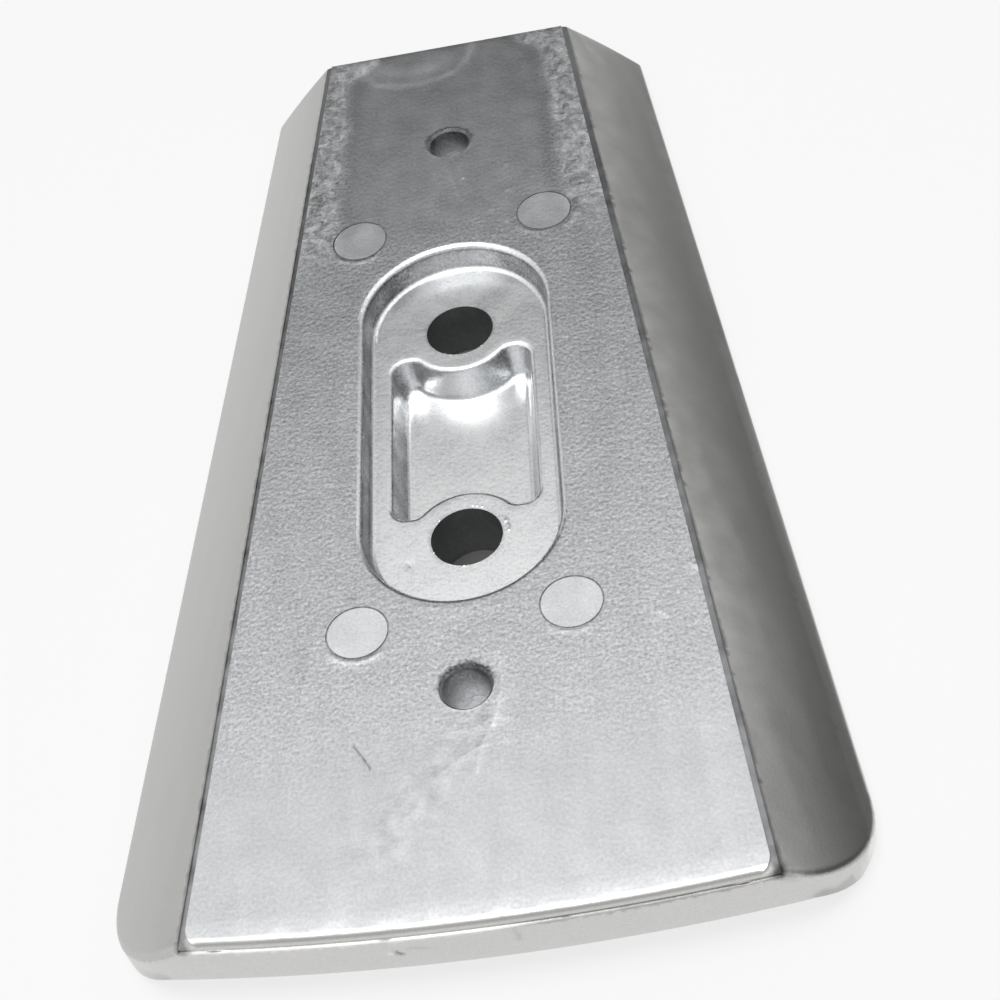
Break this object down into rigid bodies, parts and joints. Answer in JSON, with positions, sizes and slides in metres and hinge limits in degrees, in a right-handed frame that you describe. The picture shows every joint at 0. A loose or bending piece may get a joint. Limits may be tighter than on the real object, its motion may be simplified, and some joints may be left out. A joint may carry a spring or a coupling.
{
  "type": "sacrificial anode",
  "caption": "Tapered bolt-on plate anode with sloping flanks, a bowed wide end and a stepped bolt recess in its face.",
  "frame": {"origin": "midway between the axes of the two bolt holes, on the flat back", "axes": "+Z out of the back through the recessed face, +Y along the centre line towards the narrow end, +X across"},
  "size_m": [0.0858, 0.1492, 0.012],
  "materials": {
    "cast_anode_alloy": "as-cast anode alloy, bare, dull satin with a fine grainy casting skin"
  },
  "bodies": {
    "root": {"anode_body": "cast_anode_alloy"}
  },
  "joints": []
}
